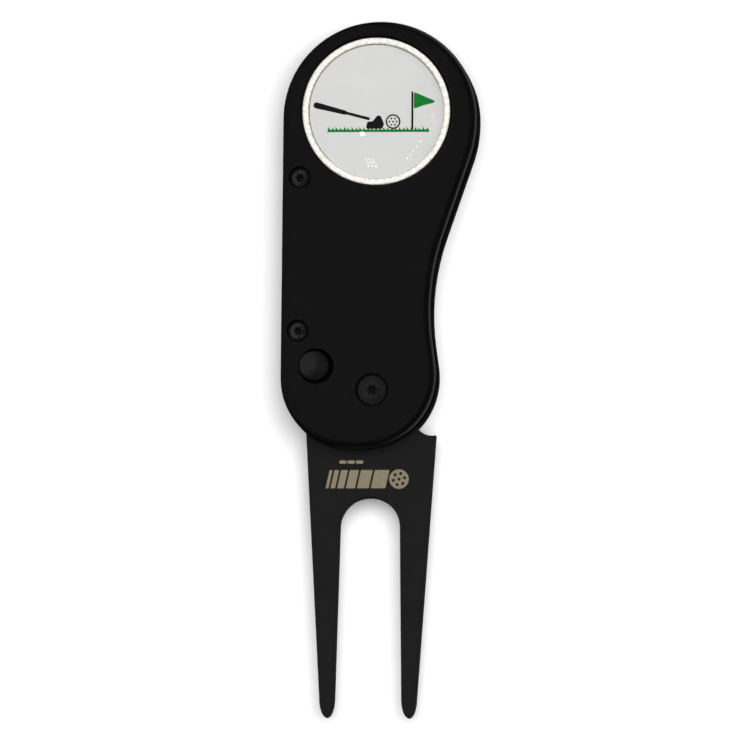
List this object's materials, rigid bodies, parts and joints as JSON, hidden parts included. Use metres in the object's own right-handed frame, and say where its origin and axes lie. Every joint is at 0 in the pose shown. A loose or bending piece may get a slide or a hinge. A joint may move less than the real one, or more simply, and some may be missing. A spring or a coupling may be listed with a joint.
{
  "type": "divot repair tool",
  "caption": "Folding golf divot repair tool: a flat two-prong fork on a sprung pivot between two black handle shells, with a push button lock and a lift-off magnetic ball marker.",
  "frame": {"origin": "middle of the tool's footprint with the fork open, on the surface that its back lies on", "axes": "+Z out of the front face, +Y from the prongs towards the ball marker end, +X towards the handle's open side"},
  "size_m": [0.0332, 0.1178, 0.0117],
  "materials": {
    "handle_black": "fine matte soft-touch black",
    "spacer_black": "matte black",
    "fork_black": "satin black coated steel, etched mark",
    "screw_black": "black oxide",
    "bright_steel": "turned bright steel",
    "washer_brass": "rolled bronze sheet",
    "spring_steel": "drawn spring wire",
    "button_black": "satin black",
    "magnet_nickel": "nickel plated",
    "marker_rim": "plated, lightly hammered",
    "marker_print": null,
    "clear_resin": "clear poured resin"
  },
  "bodies": {
    "handle": {"front_shell": "handle_black", "back_shell": "handle_black", "spine_spacer": "spacer_black", "stop_pin": "bright_steel", "pivot_screw": "screw_black", "pivot_barrel": "bright_steel", "washer_front": "washer_brass", "washer_back": "washer_brass", "torsion_spring": "spring_steel", "button_spring": "spring_steel", "case_screw_upper": "screw_black", "case_screw_lower": "screw_black", "magnet_yoke": "bright_steel", "marker_magnet": "magnet_nickel"},
    "fork": {"fork_blade": "fork_black"},
    "button": {"lock_button": "button_black"},
    "marker": {"marker_cup": "marker_rim", "marker_insert": "marker_print", "marker_dome": "clear_resin"}
  },
  "joints": [
    {"name": "blade_swing", "type": "hinge", "parent": "handle", "child": "fork", "pos_m": [-0.00104, -0.00367, 0.005], "axis": [0, 0, 1], "range_deg": [0, 180], "stiffness_Nm_per_rad": 0.01, "springref_deg": -57.3, "deforming": ["torsion_spring"]},
    {"name": "button_press", "type": "slide", "parent": "handle", "child": "button", "axis": [0, 0, -1], "range_m": [0, 0.0014], "stiffness_N_per_m": 600, "springref_m": -0.003, "deforming": ["button_spring"]},
    {"name": "marker_lift", "type": "slide", "parent": "handle", "child": "marker", "axis": [0, 0, 1], "range_m": [0, 0.015]}
  ]
}
